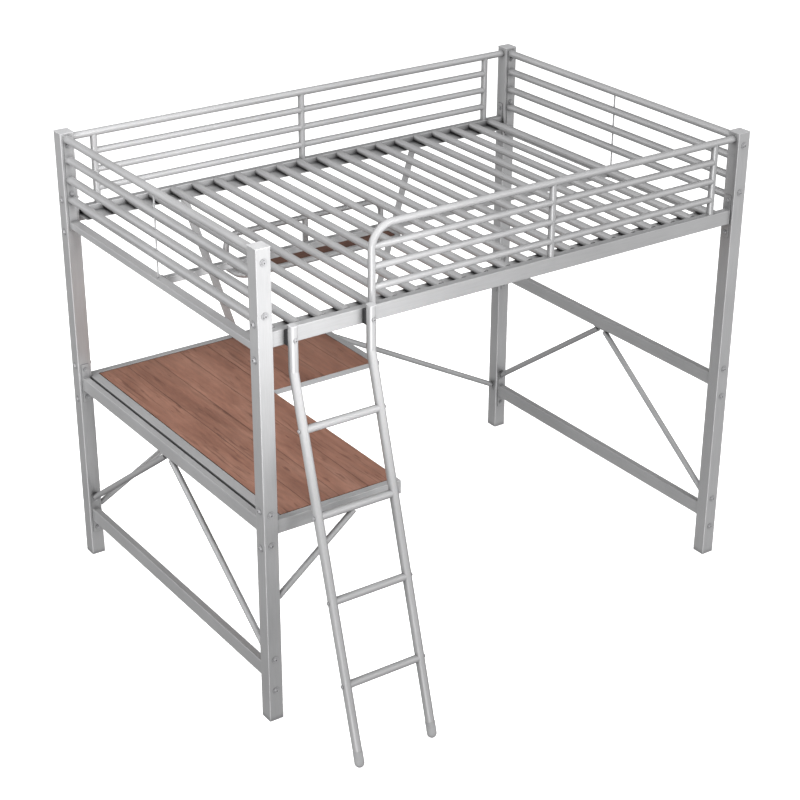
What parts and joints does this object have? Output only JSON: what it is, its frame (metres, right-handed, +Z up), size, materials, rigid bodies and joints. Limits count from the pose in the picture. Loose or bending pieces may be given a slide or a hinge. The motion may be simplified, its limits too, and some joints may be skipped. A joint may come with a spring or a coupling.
{
  "type": "loft bed with desk",
  "caption": "Tubular metal loft bed with a slatted deck, guard rails, an L-shaped board desk underneath, a hanging shelf and a leaning bolt-on ladder.",
  "frame": {"origin": "centre of the bounding box at floor level, under the posts and the ladder's feet", "axes": "+X along the bed towards the end away from the ladder, +Y from the ladder side to the back side, +Z up"},
  "size_m": [2.046, 1.7964, 1.716],
  "materials": {
    "frame_paint": "satin silver-grey powder coat on steel tube",
    "zinc": "bright zinc plating",
    "desk_wood": "reddish-brown plank finish, satin",
    "grey_plastic": "moulded grey plastic",
    "dark_plastic": "moulded dark plastic"
  },
  "bodies": {
    "root": {"post_front_left": "frame_paint", "post_back_left": "frame_paint", "post_front_right": "frame_paint", "post_back_right": "frame_paint", "post_caps": "grey_plastic", "post_feet": "grey_plastic", "low_rails": "frame_paint", "desk_end_rails": "frame_paint", "deck_end_rails": "frame_paint", "end_rail_plates": "frame_paint", "end_panel_plates": "frame_paint", "end_guard_left": "frame_paint", "end_guard_right": "frame_paint", "end_guard_ties": "frame_paint", "front_deck_rail": "frame_paint", "back_deck_rail": "frame_paint", "deck_rail_plates": "frame_paint", "slat_ledges": "frame_paint", "slats": "frame_paint", "centre_beam": "frame_paint", "beam_plates": "frame_paint", "back_guard_rail": "frame_paint", "back_guard_uprights": "frame_paint", "back_guard_bars": "frame_paint", "front_guard_rail": "frame_paint", "front_guard_uprights": "frame_paint", "front_guard_bars": "frame_paint", "front_desk_rail": "frame_paint", "front_desk_cap": "grey_plastic", "back_desk_rail": "frame_paint", "desk_rail_plates": "frame_paint", "desk_strip_left": "frame_paint", "desk_strip_right": "frame_paint", "desk_support": "frame_paint", "return_angle": "frame_paint", "desk_board_deep": "desk_wood", "desk_board_return": "desk_wood", "end_braces": "frame_paint", "back_braces": "frame_paint", "front_brace": "frame_paint", "hangers": "frame_paint", "shelf_frame": "frame_paint", "shelf_board": "desk_wood", "shelf_rail": "frame_paint", "shelf_rail_post": "frame_paint", "shelf_links": "frame_paint", "ladder_rail_left": "frame_paint", "ladder_rail_right": "frame_paint", "ladder_rungs": "frame_paint", "ladder_feet": "grey_plastic", "ladder_plugs": "grey_plastic", "ladder_spacers": "dark_plastic", "frame_bolts": "zinc", "frame_washers": "zinc", "frame_nuts": "zinc", "ladder_bolts": "zinc", "rung_screws": "zinc", "brace_screws": "zinc", "shelf_screws": "zinc"}
  },
  "joints": []
}
